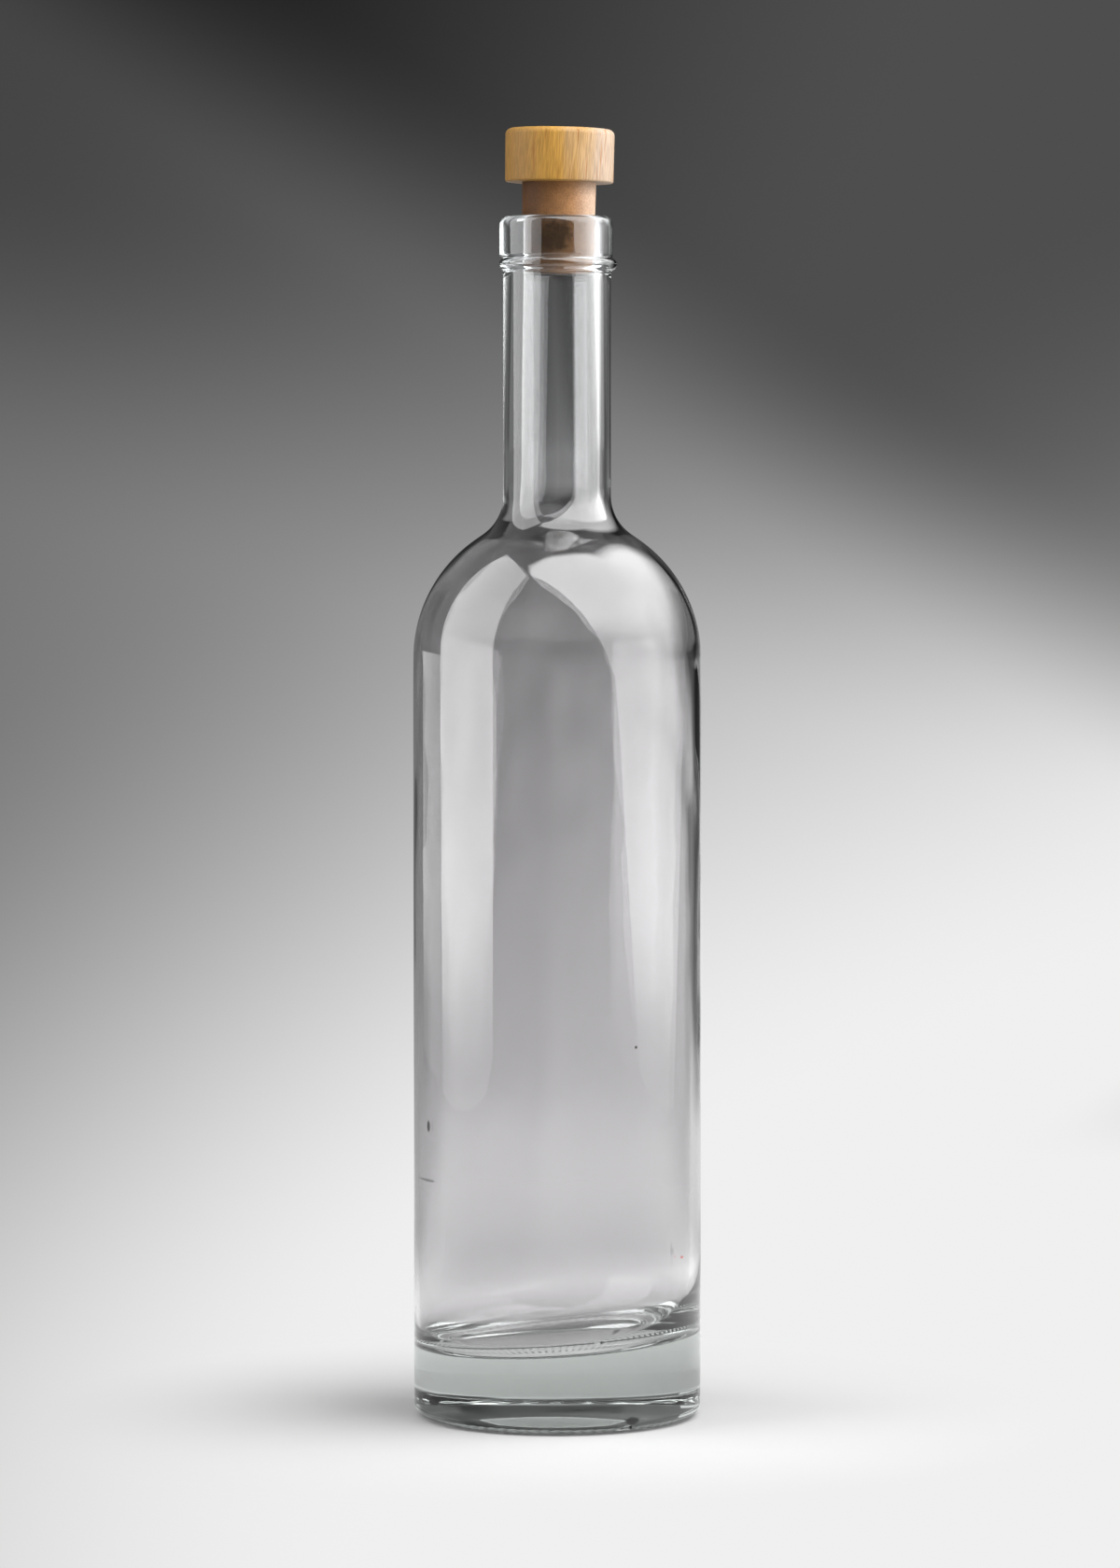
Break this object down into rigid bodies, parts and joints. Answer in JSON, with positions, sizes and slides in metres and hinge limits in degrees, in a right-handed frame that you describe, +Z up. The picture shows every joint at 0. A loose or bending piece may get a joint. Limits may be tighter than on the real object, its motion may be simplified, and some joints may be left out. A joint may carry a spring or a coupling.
{
  "type": "glass spirits bottle",
  "caption": "Tall round clear glass spirits bottle with a heavy base, round shoulder and long neck, its wooden-topped stopper pushed partly into the mouth.",
  "frame": {"origin": "middle of the base, on the surface the bottle stands on", "axes": "+Z up along the bottle's axis, -Y towards the front, +X to the right seen from the front"},
  "size_m": [0.0734, 0.0734, 0.3289],
  "materials": {
    "glass": "clear flint glass, smooth and glossy, faintly grey-green where it is thick",
    "shank": "fine-grained agglomerated cork, matt, finely speckled",
    "cap": "pale close-grained hardwood, turned and sanded, satin, grain upright"
  },
  "bodies": {
    "root": {"bottle": "glass", "stopper_shank": "shank", "stopper_cap": "cap"}
  },
  "joints": []
}
